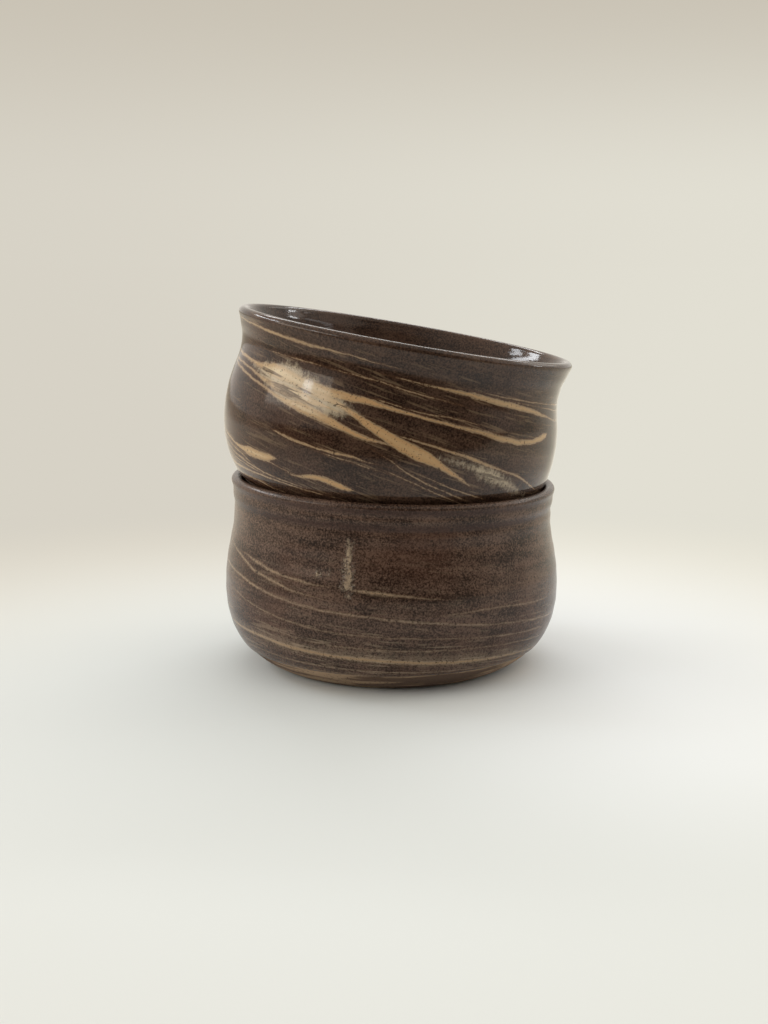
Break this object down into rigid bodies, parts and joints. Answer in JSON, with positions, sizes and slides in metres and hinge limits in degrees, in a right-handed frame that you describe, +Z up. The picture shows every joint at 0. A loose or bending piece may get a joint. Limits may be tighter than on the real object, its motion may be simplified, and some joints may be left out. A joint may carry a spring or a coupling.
{
  "type": "nested pair of handleless cups",
  "caption": "Handleless marbled stoneware cups with round bellies and flared rims, the upper one leaning in the mouth of the lower one.",
  "frame": {"origin": "on the table, under the middle of the pair's bounding box at rest", "axes": "+Z up, -Y the front that the picture shows, +X the side towards which the upper cup leans"},
  "size_m": [0.1022, 0.0994, 0.1054],
  "materials": {
    "lower_clay": "bare fired stoneware, matt",
    "lower_glaze": "satin glaze over marbled clay, speckled",
    "upper_clay": "bare fired stoneware, matt",
    "upper_glaze": "gloss glaze over marbled clay"
  },
  "bodies": {
    "lower_cup": {"lower_cup_clay": "lower_clay", "lower_cup_glaze": "lower_glaze"},
    "upper_cup": {"upper_cup_clay": "upper_clay", "upper_cup_glaze": "upper_glaze"}
  },
  "joints": [
    {"name": "upper_cup_lift", "type": "slide", "parent": "lower_cup", "child": "upper_cup", "axis": [0, 0, 1], "range_m": [0, 0.06]}
  ]
}
